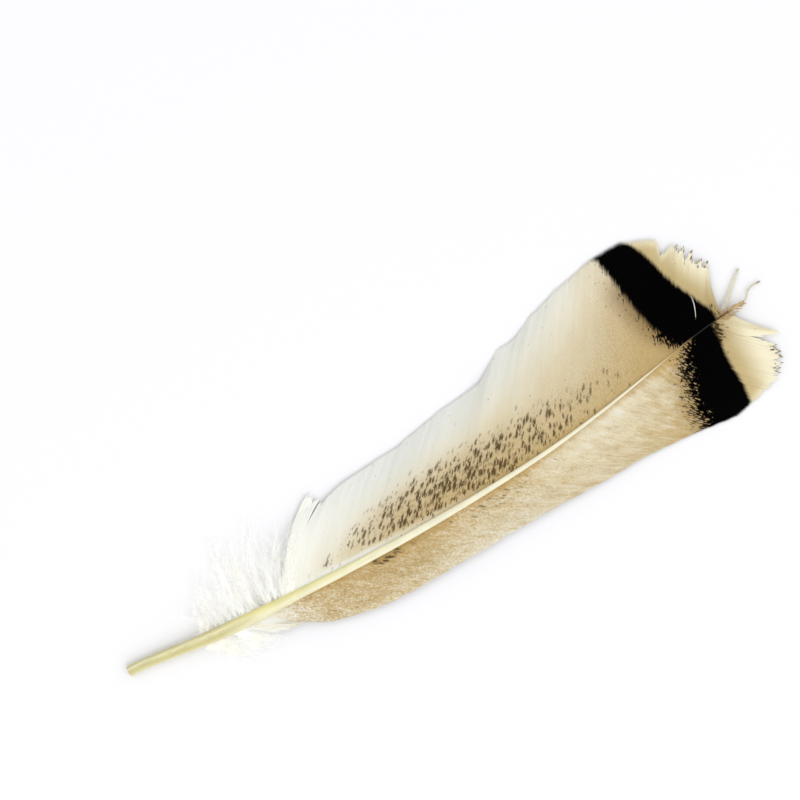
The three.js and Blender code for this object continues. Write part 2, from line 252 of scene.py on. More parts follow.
# Loose barbs: two past the last whole lock, and one that lies over the dark band. Points along the
# strip, its width at both ends, number and thickness of its barbs, length of their fringe, and how
# brown they are along the strip and at its last point, where -1 is white
LOOSE_STRIPS = [
    {
        "points": [(284.0, -2.2, 3.0), (288.6, 1.0, 2.2), (294.2, 5.6, 1.5), (299.6, 9.8, 1.2)],
        "widths": (1.9, 0.8), "barbs": 8, "thread": 0.34, "fringe": 0.35, "shade": -0.5, "end": -0.5,
    },
    {
        "points": [
            (292.4, -3.6, 2.6), (295.4, -2.6, 2.0), (297.6, -0.3, 1.5), (300.6, 0.7, 1.3),
            (304.9, 0.3, 1.2),
        ],
        "widths": (0.6, 0.5), "barbs": 3, "thread": 0.38, "fringe": 0.7, "shade": -0.5, "end": 1.2,
    },
    # A lifted barb over the band, white as its painted highlight: the glint along its edge
    {
        "points": [(276.4, 10.2, 4.5), (275.8, 7.0, 4.6), (274.5, 3.8, 4.5), (272.9, 0.6, 4.4)],
        "widths": (0.4, 0.0), "barbs": 3, "thread": 0.2, "fringe": 0.1, "shade": -1.0, "end": 1.4,
    },
]
LOOSE_STATIONS = 13
LOOSE_SEED = 53
TUFT_FROM = 281.0  # x of the first short brown barb at the shaft's tip
TUFT_BY = 293.4
TUFT_BARBS = 26  # on each side
TUFT_SIDES = [(1, 4.2, 42), (-1, 7.0, 38)]  # side, length of its longest barb, their angle to the shaft

# Lights: place about the middle of the view (to its right, up it, over the table), side and power
LIGHTS = {"key": ((0.9, -1.2, 1.8), 2.2, 26), "fill": ((-1.2, 0.9, 1.9), 2.0, 11)}
ROOM_LIGHT = 0.83


def linear(red, green, blue):
    """A colour of 0 to 255 sRGB values as the linear numbers that shaders use."""
    shares = (value / 255 for value in (red, green, blue))
    return tuple(s / 12.92 if s <= 0.04045 else ((s + 0.055) / 1.055) ** 2.4 for s in shares)


# ---- Settings ----


def length(name, description, default, **limits):
    return FloatProperty(
        name=name, description=description, default=default, unit="LENGTH", precision=5, **limits)


def colour(name, description, default):
    return FloatVectorProperty(
        name=name, description=description, default=default, subtype="COLOR", min=0, max=1)


def count(name, description, default, least):
    return IntProperty(name=name, description=description, default=default, min=least)


class FeatherQuillSettings(bpy.types.PropertyGroup):
    sides: count("Sides", "Corners of the shaft's cross-section", 24, 8)
    rings: count("Rings", "Cross-sections along the shaft", 96, 20)
    wall: length("Wall", "Thickness of the horn wall at the cut end", 0.0006)
    hollow: length("Hollow", "Depth of the hollow in the cut end", 0.006)
    groove: length("Groove", "Depth of the groove under the shaft", 0.0004)
    bare: colour("Bare quill", "Horn of the bare quill", linear(203, 195, 146))
    olive: colour("Olive", "Darker horn of the bare quill", linear(186, 178, 122))
    # This colour is also the painted highlight streak along the bare quill's wide side, as well as
    # clearer horn at its narrow side's edge
    clear: colour("Clear horn", "Clearer horn along the bare quill", linear(220, 213, 172))
    shaft: colour("Shaft", "Shaft between the vanes", linear(223, 219, 192))
    yolk: colour("Yellow side", "Where the quill turns into the shaft", linear(219, 212, 141))
    gold: colour("Gold", "Short barbs at the tip", linear(200, 172, 118))
    tip: colour("Tip", "Shaft past the dark band", linear(112, 74, 40))


class FeatherVaneSettings(bpy.types.PropertyGroup):
    spacing: length("Barb spacing", "Distance between barbs along the shaft", 0.00052, min=0.0003)
    segments: count("Segments", "Lengths that a barb bends in", 24, 6)
    ridge: length("Ridge", "How far a barb's ridge stands over its web", 0.00013)
    depth: length("Depth", "How deep a barb is under its web", 0.00026)
    white: colour("White", "Web next to the down", linear(235, 235, 228))
    pale: colour("Pale", "Outer part of the wide vane", linear(226, 227, 221))
    cream: colour("Cream", "Between the pale and the tan ground", linear(222, 214, 190))
    tan: colour("Tan", "Ground beside the shaft", linear(190, 166, 115))
    gold: colour("Gold", "Narrow vane beside the shaft", linear(200, 166, 106))
    brown: colour("Brown", "Mottling, and the line beside the shaft", linear(142, 108, 60))
    fleck: colour("Fleck", "Flecks", linear(96, 77, 47))
    band: colour("Band", "Dark band", linear(4, 3, 3))
    fringe: colour("Fringe", "Tips past the dark band", linear(231, 224, 197))
    end: colour("End", "Ground past the dark band", linear(194, 176, 131))


class FeatherDownSettings(bpy.types.PropertyGroup):
    wide_barbs: count("Wide side", "Down barbs on the wide side", 94, 1)
    narrow_barbs: count("Narrow side", "Down barbs on the narrow side", 62, 1)
    fibres: count("Fibres", "Fibres on one down barb", 52, 2)
    fibre_length: length("Fibre length", "Length of a down fibre", 0.0032)
    fibre_width: length("Fibre width", "Width of a down fibre", 0.00007)
    white: colour("White", "Down", linear(253, 253, 250))
    # Painted light: how much light the down gives off of its own, to lift the shade between its fibres
    painted_glow: FloatProperty(name="Glow", description="Light that the down passes on", default=0.22, min=0)


class FeatherStageSettings(bpy.types.PropertyGroup):
    floor: length("Floor", "Side of the table top", 6.0)
    floor_colour: colour("Floor colour", "Table top", linear(232, 232, 234))
    view_width: length("View width", "Width of the camera's view at the table", 0.3297)
    view_x: length("View x", "Middle of the camera's view", 0.0003)
    view_y: length("View y", "Middle of the camera's view", 0.0348)
    lens: FloatProperty(name="Lens", description="Focal length in millimetres", default=100, min=20)
    turn: FloatProperty(
        name="Turn", description="Turn of the camera about its own line of sight",
        default=math.radians(-31.58), subtype="ANGLE",
    )


# ---- Curves and random runs ----


def smooth(rows):
    """A smooth curve through rows of (x, value, ...), read at any x."""
    table = np.array(rows, float)
    xs, values = table[:, 0], table[:, 1:]
    chords = np.diff(values, axis=0) / np.diff(xs)[:, None]
    slopes = np.zeros_like(values)
    slopes[1:-1] = (chords[:-1] + chords[1:]) / 2

    def at(x):
        x = np.asarray(x, float)
        i = np.clip(np.searchsorted(xs, x, side="right") - 1, 0, len(xs) - 2)
        step = (xs[i + 1] - xs[i])[..., None]
        p = (x[..., None] - xs[i][..., None]) / step
        return (
            (2 * p**3 - 3 * p**2 + 1) * values[i]
            + (p**3 - 2 * p**2 + p) * step * slopes[i]
            + (3 * p**2 - 2 * p**3) * values[i + 1]
            + (p**3 - p**2) * step * slopes[i + 1]
        )

    return at


def straight(rows):
    """Straight lines through rows of (x, value, ...), read at any x."""
    table = np.array(rows, float)

    def at(x):
        return np.stack([np.interp(x, table[:, 0], column) for column in table.T[1:]], axis=-1)

    return at


def root_range(piece):
    """x of the first and the last root of a vane or of a side's down."""
    return piece["outline"][0][0], piece["outline"][-1][0]


def eased(value, low, high):
    """0 below low, 1 above high and smooth between."""
    p = np.clip((value - low) / (high - low), 0, 1)
    return p * p * (3 - 2 * p)


def drift(rng, steps, reach):
    """Random numbers about 0, each close to its neighbours up to reach steps away."""
    noise = rng.normal(size=steps + 6 * reach)
    window = np.hanning(2 * reach + 1)
    run = np.convolve(noise, window, mode="same")[3 * reach : 3 * reach + steps]
    return run / np.sqrt((window**2).sum())


shaft_at = smooth(SHAFT_STATIONS)


def feather_origin():
    """Where the feather's own frame starts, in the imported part's frame."""
    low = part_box("shaft")[0]
    ring = [v.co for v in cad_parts["shaft"].data.vertices if v.co.x < low.x + 1e-4]
    middle = [(min(c[i] for c in ring) + max(c[i] for c in ring)) / 2 for i in range(3)]
    return Vector(middle) - Vector(CUT_END[:3]) * MM


ORIGIN = feather_origin()


# ---- Modelling ----


def start_clean():
    """Object mode with nothing selected."""
    if bpy.context.object and bpy.context.object.mode != "OBJECT":
        bpy.ops.object.mode_set(mode="OBJECT")
    bpy.ops.object.select_all(action="DESELECT")


def face_outwards():
    """Turns the active object's faces outwards, and leaves none selected."""
    bpy.ops.object.mode_set(mode="EDIT")
    bpy.ops.mesh.select_all(action="SELECT")
    bpy.ops.mesh.normals_make_consistent(inside=False)
    bpy.ops.mesh.select_all(action="DESELECT")
    bpy.ops.object.mode_set(mode="OBJECT")


def extrude_rod(name, sides, steps, step, section=()):
    """A rod along x: a disc, reshaped to a section if one is given, extruded in equal steps.

    It is left in edit mode with its last end selected.
    """
    start_clean()
    bpy.ops.mesh.primitive_circle_add(
        vertices=sides, radius=1, fill_type="NGON", rotation=(0, math.pi / 2, 0))
    rod = bpy.context.object
    rod.name = rod.data.name = name
    bpy.ops.object.transform_apply(location=False, rotation=True, scale=False)
    for vertex, (across, up) in zip(rod.data.vertices, section):
        vertex.co = (0, across, up)
    bpy.ops.object.mode_set(mode="EDIT")
    bpy.ops.mesh.select_all(action="SELECT")
    for _ in range(steps):
        bpy.ops.mesh.extrude_region_move(TRANSFORM_OT_translate={"value": (step, 0, 0)})
    return rod


def to_the_right(lines):
    """Unit vectors (..., stations, 2), seen from above, that point to the right of lines."""
    along = np.gradient(lines, axis=-2)
    across = np.stack([along[..., 1], -along[..., 0]], axis=-1)
    return across / np.maximum(np.linalg.norm(across, axis=-1, keepdims=True), 1e-9)


def turned(vectors, angles):
    """Plan vectors turned anticlockwise about z: their new x and y."""
    x, y = vectors[:, 0], vectors[:, 1]
    return x * np.cos(angles) - y * np.sin(angles), x * np.sin(angles) + y * np.cos(angles)


def read_lines(lines, rows, place):
    """Points of some lines at places counted in stations, and the step to the next station there."""
    low = np.clip(np.floor(place).astype(int), 0, lines.shape[1] - 2)
    part = (place - low)[..., None]
    here, there = lines[rows, low], lines[rows, low + 1]
    return here * (1 - part) + there * part, there - here


def model_strand(corners, segments):
    """One straight strand with a pointed end. corners are its section's (across, up).

    Returns its vertices as (segment, across, up), and its faces as runs of corners with their starts.
    """
    strand = extrude_rod("strand", len(corners), segments, 1, corners)
    bpy.ops.mesh.merge(type="CENTER")
    face_outwards()
    mesh = strand.data
    points = np.array([v.co for v in mesh.vertices])
    runs = np.array([loop.vertex_index for loop in mesh.loops])
    starts = np.array([face.loop_start for face in mesh.polygons])
    bpy.data.objects.remove(strand)
    return points, runs, starts


def lay_strands(strand, lines, halves, height):
    """Copies of a strand along centre lines (strands, stations, 3), with half a width at each station.

    Returns all points (strands, points, 3) and the runs and starts of their faces.
    """
    points, runs, starts = strand
    station = np.rint(points[:, 0]).astype(int)
    laid = lines[:, station].copy()
    laid[..., :2] += to_the_right(lines)[:, station] * (points[:, 1] * halves[:, station])[..., None]
    laid[..., 2] += points[:, 2] * height[:, station]
    runs = runs[::-1]
    ends = np.append(starts[1:], len(runs))
    starts = (len(runs) - ends)[::-1]
    offsets = np.arange(len(lines))[:, None]
    return laid, (runs + offsets * len(points)).ravel(), (starts + offsets * len(runs)).ravel()


def make_object(name, points, runs, starts):
    """A mesh object at the origin, from points in the feather's frame."""
    mesh = bpy.data.meshes.new(name)
    placed = points.reshape(-1, 3) * MM + np.array(ORIGIN)
    mesh.vertices.add(len(placed))
    mesh.vertices.foreach_set("co", placed.ravel())
    mesh.loops.add(len(runs))
    mesh.loops.foreach_set("vertex_index", runs)
    mesh.polygons.add(len(starts))
    mesh.polygons.foreach_set("loop_start", starts)
    mesh.update(calc_edges=True)
    mesh.validate()
    piece = bpy.data.objects.new(name, mesh)
    bpy.context.collection.objects.link(piece)
    return piece


def select_only(piece):
    """The piece as the only selected and the active object."""
    start_clean()
    piece.select_set(True)
    bpy.context.view_layer.objects.active = piece


def read_numbers(collection, field, kind, width=1):
    """One field of all items of a mesh, in rows of a width."""
    numbers = np.zeros(len(collection) * width, kind)
    collection.foreach_get(field, numbers)
    return numbers.reshape(-1, width) if width > 1 else numbers


def add_attribute(piece, name, values):
    """One number for each point, for the material to read."""
    attribute = piece.data.attributes.new(name, "FLOAT", "POINT")
    attribute.data.foreach_set("value", np.asarray(values, np.float32).ravel())


def add_uv_map(piece, name, u, v):
    """A UV map from one pair of numbers for each point."""
    corner = read_numbers(piece.data.loops, "vertex_index", np.int32)
    pairs = np.stack([np.ravel(u)[corner], np.ravel(v)[corner]], axis=-1)
    layer = piece.data.uv_layers.new(name=name)
    layer.data.foreach_set("uv", pairs.astype(np.float32).ravel())


def add_flat_map(piece):
    """A map seen from above, for baking. Faces that look up fill one half, the others the other."""
    mesh = piece.data
    points = read_numbers(mesh.vertices, "co", np.float32, 3)[:, :2]
    low, size = points.min(axis=0), np.ptp(points, axis=0)
    looks_down = read_numbers(mesh.polygons, "normal", np.float32, 3)[:, 2] < 0
    totals = read_numbers(mesh.polygons, "loop_total", np.int32)
    flat = (points[read_numbers(mesh.loops, "vertex_index", np.int32)] - low) / size
    flat[:, 1] = flat[:, 1] * 0.49 + 0.005 + np.repeat(looks_down, totals) * 0.5
    layer = mesh.uv_layers.new(name="OFBake")
    layer.data.foreach_set("uv", flat.astype(np.float32).ravel())


def dress(piece, material, slot, *nodes):
    """Gives a finished piece its material and its body, and hides the solids that it stands for; slot is
    not used.
    """
    piece.data.materials.append(material)
    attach(piece, "root")
    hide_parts(*nodes)


# ---- Barbs ----


def lock_sides(vane):
    """x of the roots where one lock of a vane ends and the next starts."""
    lock = np.arange(vane["locks"] + 1)
    uneven = WIDTH_SWING * np.sin(lock * WIDTH_RHYTHM)
    uneven[[0, -1]] = 0
    share = 1 - np.clip(1 - (lock + uneven) / vane["locks"], 0, 1) ** CROWDING
    first, last = root_range(vane)
    return first + share * (last - first)


def barb_curves(vane, roots, bends, rise, segments, usual=None):
    """Centre lines (barbs, stations, 3) from the shaft to the outline, and their length.

    They end at a rise over the edge of the underside. usual(root) is the length over which a barb
    there falls to that height.
    """
    side = vane["side"]
    y, z, width, _ = shaft_at(roots).T
    start = np.stack([roots, y + side * width * 0.3], axis=-1)
    tip = straight(vane["outline"])(roots)
    line = tip - start
    lean = np.stack(turned(line, np.radians(bends) * side), axis=-1)
    f = np.linspace(0, 1, segments + 1)[None, :, None]
    flat = start[:, None] + f * (1 - f) * lean[:, None] + f**2 * line[:, None]
    edge = straight(vane["edge"])(tip[:, 0]) + rise
    reach = np.linalg.norm(line, axis=-1)
    if usual is not None:
        f = np.clip(f * (reach / usual(roots))[:, None, None], 0, 1)
    fall = BARB_CAMBER * f + (1 - BARB_CAMBER) * f**2
    height = z[:, None, None] * (1 - fall) + edge[:, None] * fall
    return np.concatenate([flat, height], axis=-1), reach


def usual_length(vane):
    """The length of a vane's barbs with its steps smoothed out, read at any root."""
    roots = np.arange(*root_range(vane), 0.5)
    _, reach = barb_curves(vane, roots, np.zeros(len(roots)), 0, 2)
    window = np.hanning(SMOOTHED_OVER * 2 + 1)
    padded = np.pad(reach, SMOOTHED_OVER, mode="edge")
    even = np.convolve(padded, window / window.sum(), mode="valid")
    return lambda x: np.interp(x, roots, even)


def cut_short(lines, kept):
    """The same lines, each ending at its own kept share of its length."""
    stations = lines.shape[1]
    place = np.linspace(0, 1, stations)[None] * np.asarray(kept)[:, None] * (stations - 1)
    return read_lines(lines, np.arange(len(lines))[:, None], place)[0]


def vane_lines(vane, spacing, segments):
    """A vane's roots and centre lines, the length along each line, and which barbs end a tooth."""
    rng = np.random.default_rng(vane["seed"])
    roots = np.arange(*root_range(vane), spacing)
    sides = lock_sides(vane)
    lock = np.clip(np.searchsorted(sides, roots, side="right") - 1, 0, vane["locks"] - 1)
    place = (roots - sides[lock]) / (sides[lock + 1] - sides[lock])
    frayed = eased(roots, FRAYED_FROM, FRAYED_BY)
    teeth = np.array(vane["teeth"])
    toothed = eased(roots, teeth[0] - 1.5, teeth[0] - 0.5)
    toothed *= 1 - eased(roots, teeth[-1] + 0.5, teeth[-1] + 1.5)
    loose = 1 - eased(roots - root_range(vane)[0], *LOOSE_OVER)
    bends = vane["bend"] + vane["first_bend"] * loose
    usual = usual_length(vane)
    lines, lengths = barb_curves(vane, roots, bends, BARB_RISE, segments, usual)
    nearest = np.abs(roots[:, None] - teeth).argmin(axis=1)
    from_tooth = np.abs(roots - teeth[nearest])
    core, _ = barb_curves(vane, teeth[nearest], bends, BARB_RISE, segments, usual)

    lift = rng.uniform(*LOCK_LIFT, vane["locks"])
    depth = rng.uniform(*NOTCH_SHARES, vane["locks"] + 1)
    before = vane["notch"] + (vane["frayed_notch"] - vane["notch"]) * frayed
    notch = np.where(place < 0.5, depth[lock], depth[lock + 1]) * before
    ragged = RAGGED + RAGGED_FRAYED * frayed + RAGGED_LOOSE * loose
    ragged = np.abs(rng.normal(size=len(roots))) * ragged
    uneven = rng.uniform(*TOOTH_SHARES, len(teeth))[nearest]
    tooth = eased(from_tooth, 0.6 * TOOTH_HALF, 1.5 * TOOTH_HALF) * toothed * uneven * TOOTH
    kept = 1 - (notch * np.abs(2 * place - 1) ** 3 + ragged + tooth) / lengths
    kept_f = np.linspace(0, 1, segments + 1)[None] * kept[:, None]
    lines = cut_short(lines, kept)
    core = cut_short(core, kept)

    # Toothed barbs gather to points; each lock stands a little over the next
    left = (1 - kept_f) * lengths[:, None]
    gather = (0.5 * toothed * (from_tooth < 2 * TOOTH_HALF))[:, None]
    gather = gather * (1 - eased(left, 0.3, 1.2 * TOOTH))
    lines[..., :2] += (core - lines)[..., :2] * gather[..., None]
    lean = (toothed * uneven)[:, None] * (1 - eased(left, 0, 1.3 * TOOTH))
    lines[..., :2] += lean[..., None] * np.array(TOOTH_LEAN) * (1, vane["side"])
    lines[..., 2] += lift[lock][:, None] * place[:, None] * kept_f
    across = vane["side"] * to_the_right(lines)

    # Slow wander of the web, and the splits in it
    sway = drift(rng, len(roots), 9) * SWAY + rng.normal(size=len(roots)) * STRAY
    sway = sway[:, None] * kept_f**1.5 * (1 + 2 * frayed + 6 * loose)[:, None]
    for root, opens, closes, gap in vane["splits"]:
        bulge = np.sin(np.pi * np.clip((kept_f - opens) / (closes - opens), 0, 1)) ** 2
        away = np.sign(roots - root) * np.exp(-np.abs(roots - root) / 6)
        sway = sway + away[:, None] * bulge * gap / 2
    lines[..., :2] += across * sway[..., None]
    lines[..., 2] += (drift(rng, len(roots), 5) * WAVE)[:, None] * kept_f
    curl = drift(rng, len(roots), 3) * frayed * CURL_SWING + CURL * frayed
    lines[..., 2] += np.abs(curl)[:, None] * eased(kept_f, 0.75, 1.0)
    return roots, lines, kept_f * lengths[:, None], toothed * (from_tooth < TOOTH_HALF)


def web_halves(lines):
    """Half a barb's width at each station: enough to close the web, between a least and a most."""
    step = np.diff(lines[..., :2], axis=0)
    gap = np.abs((step * to_the_right(lines)[:-1]).sum(axis=-1))
    gap = np.concatenate([gap[:1], (gap[:-1] + gap[1:]) / 2, gap[-1:]])
    return np.clip(gap * WEB_OVERLAP, *WEB_HALF)


def build_vane(vane, name, settings):
    """All barbs of one vane as one mesh, with what its material reads."""
    ridge, depth = settings.ridge / MM, settings.depth / MM
    section = [(-1, -0.1), (-0.2, 0), (0, ridge), (0.2, 0), (1, -0.03), (0.1, -depth)]
    strand = model_strand(section, settings.segments)
    roots, lines, reach, toothed = vane_lines(vane, settings.spacing / MM, settings.segments)
    f = np.linspace(0, 1, settings.segments + 1)[None]
    halves = vane["side"] * web_halves(lines) * (1 - 0.6 * eased(f, 0.955, 1.0))
    height = np.ones_like(halves) * (1 - 0.6 * eased(f, 0.5, 1))
    laid, runs, starts = lay_strands(strand, lines, halves, height)
    piece = make_object(name, laid, runs, starts)
    select_only(piece)
    face_outwards()
    bpy.ops.object.shade_smooth_by_angle(angle=math.radians(35))

    station = np.rint(strand[0][:, 0]).astype(int)
    x, y = laid[..., 0], laid[..., 1]
    middle, _, width, _ = np.moveaxis(shaft_at(x), -1, 0)
    beside = np.abs(y - middle)
    near, far, fade = np.moveaxis(straight(vane["tan"])(x), -1, 0)
    # On the wide web, a line below 0 is painted light that lifts the shade the shaft casts beside it
    line = straight(vane["line"])(x)[..., 0] * (1 - eased(beside - width / 2, 0.3, 2.8))
    share, full, stop = np.moveaxis(straight(vane["flecks"])(x), -1, 0)
    thick = (0.1 + 0.9 * eased(beside, 0.3 * full, full)) * (1 - eased(beside, 0.45 * stop, stop))
    rng = np.random.default_rng(vane["seed"] + 1)
    readings = {
        "tan": near + (far - near) * np.clip(beside / fade, 0, 1) ** 1.15 + line,
        "mottling": straight(vane["mottling"])(x),
        "flecks": share * thick,
        "whiteness": 1 - eased(x, *vane["white_until"]),
        "into_band": x - straight(vane["band_start"])(beside)[..., 0],
        "past_band": x - straight(vane["band_end"])(beside)[..., 0],
        "from_shaft": beside,
        "from_tip": (reach[:, -1:] - reach)[:, station],
        "strand": np.repeat(rng.uniform(size=len(roots)), laid.shape[1]),
        "toothed": np.repeat(toothed, laid.shape[1]),
    }
    for reading, values in readings.items():
        add_attribute(piece, reading, values)
    add_uv_map(piece, "Barbs", np.repeat(roots[:, None], laid.shape[1], axis=1), reach[:, station])
    add_flat_map(piece)
    return piece


# ---- Down and loose barbs ----


def fibres_along(rng, lines, each, size, spread, rise):
    """Short curved fibres that leave centre lines on both sides: their own centre lines."""
    strands, stations = lines.shape[:2]
    which = np.repeat(np.arange(strands), each)
    f = (np.tile(np.arange(each), strands) + rng.uniform(size=len(which))) / each
    f = 0.04 + 0.96 * f
    root, along = read_lines(lines, which, f * (stations - 1))
    along /= np.linalg.norm(along, axis=-1, keepdims=True)
    side = np.where(rng.uniform(size=len(which)) < 0.5, -1.0, 1.0)
    turn = side * np.radians(rng.normal(spread, 14, len(which)))
    way = np.stack([*turned(along, turn), along[:, 2] + rng.normal(0, rise, len(which))], axis=-1)
    reach = (size * rng.uniform(0.45, 1.2, len(which)) * (1 - 0.55 * f**3))[:, None, None]
    bend = along * rng.normal(0.25, 0.2, len(which))[:, None]
    steps = np.array([0, 0.5, 1])[None, :, None]
    return root[:, None] + (steps * way[:, None] + steps**2 * bend[:, None]) * reach


def keep_above(lines, floor):
    """Presses what would sink into the table flat onto it."""
    lines[..., 2] = np.maximum(lines[..., 2], floor)


def round_strand(segments):
    """A plain strand with a three-cornered section."""
    corners = [(math.cos(a), math.sin(a)) for a in (math.pi / 2, math.pi * 7 / 6, math.pi * 11 / 6)]
    return model_strand(corners, segments)


def lay_threads(strand, lines, width, thin):
    """Threads that thin from their root to a share of their width at the tip."""
    f = np.linspace(1, thin, lines.shape[1])[None]
    halves = np.ones(lines.shape[:2]) * f * width / 2
    return lay_strands(strand, lines, halves, halves)


def join_laid(name, *laid):
    """Several runs of strands as one object."""
    points, runs, starts = [], [], []
    for group, group_runs, group_starts in laid:
        first = sum(len(p) for p in points)
        starts.append(group_starts + sum(len(r) for r in runs))
        runs.append(group_runs + first)
        points.append(group.reshape(-1, 3))
    return make_object(name, np.concatenate(points), np.concatenate(runs), np.concatenate(starts))


def finish_fluff(piece):
    """Outward faces, smooth shading and the map for baking."""
    select_only(piece)
    face_outwards()
    bpy.ops.object.shade_smooth()
    add_flat_map(piece)


def build_down(down, name, barbs, settings):
    """Curved downy barbs with long loose fibres, on one side of the quill."""
    rng = np.random.default_rng(down["seed"])
    first, last = root_range(down)
    roots = first + (last - first) * np.sort(rng.uniform(size=barbs)) ** down["crowding"]
    lines, _ = barb_curves(down, roots, rng.normal(4, 24, barbs), DOWN_RISE, DOWN_SEGMENTS)
    lines = cut_short(lines, np.clip(rng.normal(0.82, 0.2, barbs), 0.35, 1.12))
    f = np.linspace(0, 1, lines.shape[1])[None]
    wave = np.sin(f * rng.uniform(2, 6.5, barbs)[:, None] + rng.uniform(0, 6, barbs)[:, None])
    lines[..., 0] += wave * f * rng.normal(0, 2.6, barbs)[:, None]
    lines[..., 1] += wave * f * rng.normal(0, 1.7, barbs)[:, None]
    lines[..., 2] += f * rng.uniform(-0.6, 2.2, barbs)[:, None]
    keep_above(lines, DOWN_FLOOR)
    fibres = fibres_along(rng, lines, settings.fibres, settings.fibre_length / MM, 48, 0.35)
    keep_above(fibres, FIBRE_FLOOR)
    piece = join_laid(
        name,
        lay_threads(round_strand(DOWN_SEGMENTS), lines, DOWN_BARB, 0.3),
        lay_threads(round_strand(2), fibres, settings.fibre_width / MM, 0.6),
    )
    finish_fluff(piece)
    return piece


def strip_lines(strip, rng):
    """Centre lines of the barbs that lie side by side in one loose strip."""
    points = strip["points"]
    places = np.linspace(0, len(points) - 1, LOOSE_STATIONS)
    middle = smooth([(i, *point) for i, point in enumerate(points)])(places)
    across = to_the_right(middle) * np.linspace(*strip["widths"], LOOSE_STATIONS)[:, None]
    lines = [
        np.hstack([middle[:, :2] + across * place, middle[:, 2:]])
        for place in np.linspace(-0.5, 0.5, strip["barbs"])
    ]
    return cut_short(np.array(lines), rng.uniform(0.94, 1.0, len(lines)))


def tuft_lines(side, longest, angle, rng):
    """Centre lines of the short barbs on one side of the shaft's tip."""
    roots = np.linspace(TUFT_FROM, TUFT_BY, TUFT_BARBS) + rng.uniform(-0.3, 0.3, TUFT_BARBS)
    y, z = shaft_at(roots)[:, 0], shaft_at(roots)[:, 1]
    reach = longest * np.linspace(1, 0.3, TUFT_BARBS) * rng.uniform(0.7, 1.1, TUFT_BARBS)
    turn = side * np.radians(angle + rng.normal(0, 6, TUFT_BARBS))
    f = np.linspace(0, 1, LOOSE_STATIONS)[None]
    return np.stack([
        roots[:, None] + (np.cos(turn) * reach)[:, None] * f,
        y[:, None] + (np.sin(turn) * reach)[:, None] * f * (1 - 0.2 * f),
        z[:, None] + rng.normal(0.3, 0.2, TUFT_BARBS)[:, None] * f,
    ], axis=-1)


def build_loose_barbs(name):
    """The few barbs that stand free at the tip, with the fibres that fringe them."""
    rng = np.random.default_rng(LOOSE_SEED)
    thread, fibre = round_strand(LOOSE_STATIONS - 1), round_strand(2)
    share = thread[0][:, 0] / (LOOSE_STATIONS - 1)
    pointed = np.sin(np.pi * np.linspace(0.04, 0.9, LOOSE_STATIONS)) ** 0.7
    laid, brown = [], []
    for strip in LOOSE_STRIPS:
        lines = strip_lines(strip, rng)
        fringe = fibres_along(rng, lines, 60, strip["fringe"], 34, 0.1)
        halves = np.ones(lines.shape[:2]) * pointed * strip["thread"] / 2
        laid += [lay_strands(thread, lines, halves, halves), lay_threads(fibre, fringe, 0.09, 0.5)]
        shade = strip["shade"] + (strip["end"] - strip["shade"]) * eased(share, 0.78, 0.94)
        brown += [np.tile(shade, len(lines)), np.full(laid[-1][0][..., 0].size, strip["shade"])]
    for side, longest, angle in TUFT_SIDES:
        lines = tuft_lines(side, longest, angle, rng)
        fringe = fibres_along(rng, lines, 14, 0.5, 32, 0.12)
        laid += [lay_threads(thread, lines, 0.34, 0.45), lay_threads(fibre, fringe, 0.1, 0.5)]
        for group, _, _ in laid[-2:]:
            x, y = group.reshape(-1, 3)[:, :2].T
            from_shaft = np.abs(y - shaft_at(x)[:, 0])
            dark = (1 - eased(from_shaft, 0.2, 1.3)) * (1 - eased(x, 285, 292))
            gold = 1 - eased(from_shaft, 0.45 * longest, 0.65 * longest)
            brown.append(0.5 * (gold + dark))
    piece = join_laid(name, *laid)
    finish_fluff(piece)
    add_attribute(piece, "brown", np.concatenate(brown))
    return piece


# ---- Quill ----


def quill_section(x, turn, groove):
    """A point of the shaft's skin: round along the bare quill, squarish with a groove below past it."""
    y, z, width, depth = shaft_at(x)
    squareness = float(eased(x, 60, 100))
    exponent = 2 + 1.2 * squareness
    across, up = math.cos(turn), math.sin(turn)
    reach = (abs(across) ** exponent + abs(up) ** exponent) ** (-1 / exponent)
    fold = groove * squareness * min(1, width / 3) * max(0.0, -up) ** 6
    height = z + up * reach * depth / 2 + fold
    return (x, y + across * reach * width / 2, max(height, -ORIGIN.z / MM))


def build_quill(settings):
    """The shaft: a disc extruded from the cut end to the tip, hollowed at the cut."""
    first, last = SHAFT_STATIONS[0][0], SHAFT_STATIONS[-1][0]
    rings = settings.rings
    quill = extrude_rod("quill", settings.sides, rings, (last - first) / rings)
    bpy.ops.object.mode_set(mode="OBJECT")
    groove = settings.groove / MM
    for vertex in quill.data.vertices:
        along, across, up = vertex.co
        place = quill_section(first + along, math.atan2(up, across), groove)
        vertex.co = Vector(place) * MM + ORIGIN

    face_outwards()
    for face in quill.data.polygons:
        face.select = len(face.vertices) == settings.sides and face.center.x < 0
    bpy.ops.object.mode_set(mode="EDIT")
    bpy.ops.mesh.select_mode(type="FACE")
    bpy.ops.mesh.inset(thickness=settings.wall)
    bpy.ops.mesh.extrude_region_move(TRANSFORM_OT_translate={"value": (settings.hollow, 0, -0.0002)})
    bpy.ops.object.mode_set(mode="OBJECT")
    bpy.ops.object.shade_smooth_by_angle(angle=math.radians(50))

    x, across, up = (np.array([v.co for v in quill.data.vertices]) - np.array(ORIGIN)).T / MM
    y, z, width, _ = shaft_at(x).T
    add_attribute(quill, "along", x)
    add_attribute(quill, "across", (across - y) / width)
    unroll_quill(quill, (x - x.min()) / np.ptp(x), np.arctan2(up - z, across - y) / (2 * math.pi) % 1)
    return quill


def unroll_quill(quill, share, turn):
    """A map of the skin for baking, from each point's share of the length and turn about the middle."""
    layer = quill.data.uv_layers.new(name="OFBake")
    for face in quill.data.polygons:
        around = np.array([turn[v] for v in face.vertices])
        if np.ptp(around) > 0.5:
            around[around < 0.5] += 1
        for loop, v, value in zip(face.loop_indices, face.vertices, around):
            layer.data[loop].uv = (share[v], value / 1.06)


# ---- Materials ----


